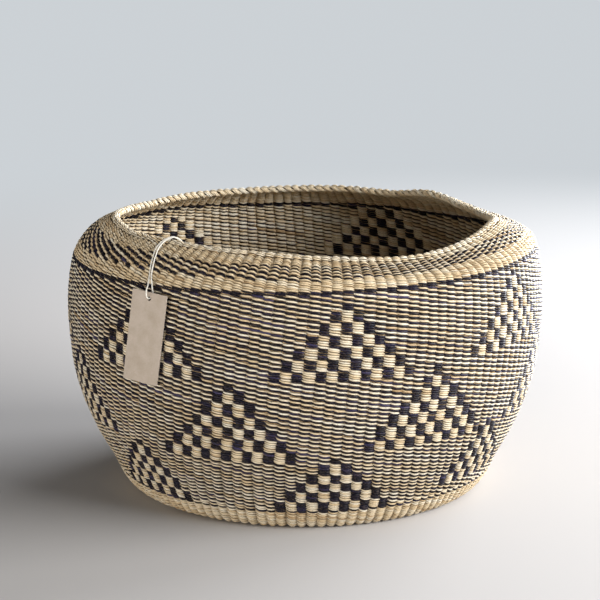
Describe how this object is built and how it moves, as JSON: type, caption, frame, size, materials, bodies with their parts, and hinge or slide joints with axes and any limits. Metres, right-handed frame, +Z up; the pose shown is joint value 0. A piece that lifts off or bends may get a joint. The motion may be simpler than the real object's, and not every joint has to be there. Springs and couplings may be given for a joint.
{
  "type": "bowl basket",
  "caption": "Round twined grass basket with a wide bulging bowl, flat foot, turned-in shoulder and rolled border, with a plain hang tag on a loop of string.",
  "frame": {"origin": "centre of the flat foot, on the surface that the basket stands on", "axes": "+Z up through the mouth, -Y towards the side that the picture shows, +X to its right"},
  "size_m": [0.4604, 0.4698, 0.2616],
  "materials": {
    "straw": "natural grass straw, dry and satin",
    "dyed_straw": "grass straw dyed navy to dark purple, satin",
    "patterned_straw": "natural and navy grass straw twined in a pattern of triangles and stripes",
    "stake_straw": "bundled natural grass straw",
    "string": "twisted undyed cotton string",
    "card": "uncoated greige paper card, plain"
  },
  "bodies": {
    "basket": {"floor_weave": "straw", "foot_band": "straw", "foot_line": "dyed_straw", "lower_triangle_row": "patterned_straw", "middle_triangle_row": "patterned_straw", "upper_triangle_row": "patterned_straw", "shoulder_line": "dyed_straw", "shoulder_band": "straw", "striped_band": "patterned_straw", "rim_band": "straw", "rim_border": "straw", "stake_01": "stake_straw", "stake_02": "stake_straw", "stake_03": "stake_straw", "stake_04": "stake_straw", "stake_05": "stake_straw", "stake_06": "stake_straw", "stake_07": "stake_straw", "stake_08": "stake_straw", "stake_09": "stake_straw", "stake_10": "stake_straw", "stake_11": "stake_straw", "stake_12": "stake_straw", "stake_13": "stake_straw", "stake_14": "stake_straw", "stake_15": "stake_straw", "stake_16": "stake_straw", "stake_17": "stake_straw", "stake_18": "stake_straw", "stake_19": "stake_straw", "stake_20": "stake_straw", "stake_21": "stake_straw", "stake_22": "stake_straw", "stake_23": "stake_straw", "stake_24": "stake_straw", "stake_25": "stake_straw", "stake_26": "stake_straw", "stake_27": "stake_straw", "stake_28": "stake_straw", "string_strand_left": "string", "string_strand_right": "string"},
    "tag_loop": {"string_loop": "string"},
    "tag": {"hang_tag": "card"}
  },
  "joints": [
    {"name": "tag_lift", "type": "hinge", "parent": "basket", "child": "tag_loop", "pos_m": [-0.13918, -0.17365, 0.23156], "axis": [-0.766, 0.6428, 0], "range_deg": [0, 95]},
    {"name": "tag_swing", "type": "hinge", "parent": "tag_loop", "child": "tag", "pos_m": [-0.139, -0.18635, 0.2134], "axis": [-0.6101, -0.7923, 0], "range_deg": [-20, 20]}
  ]
}
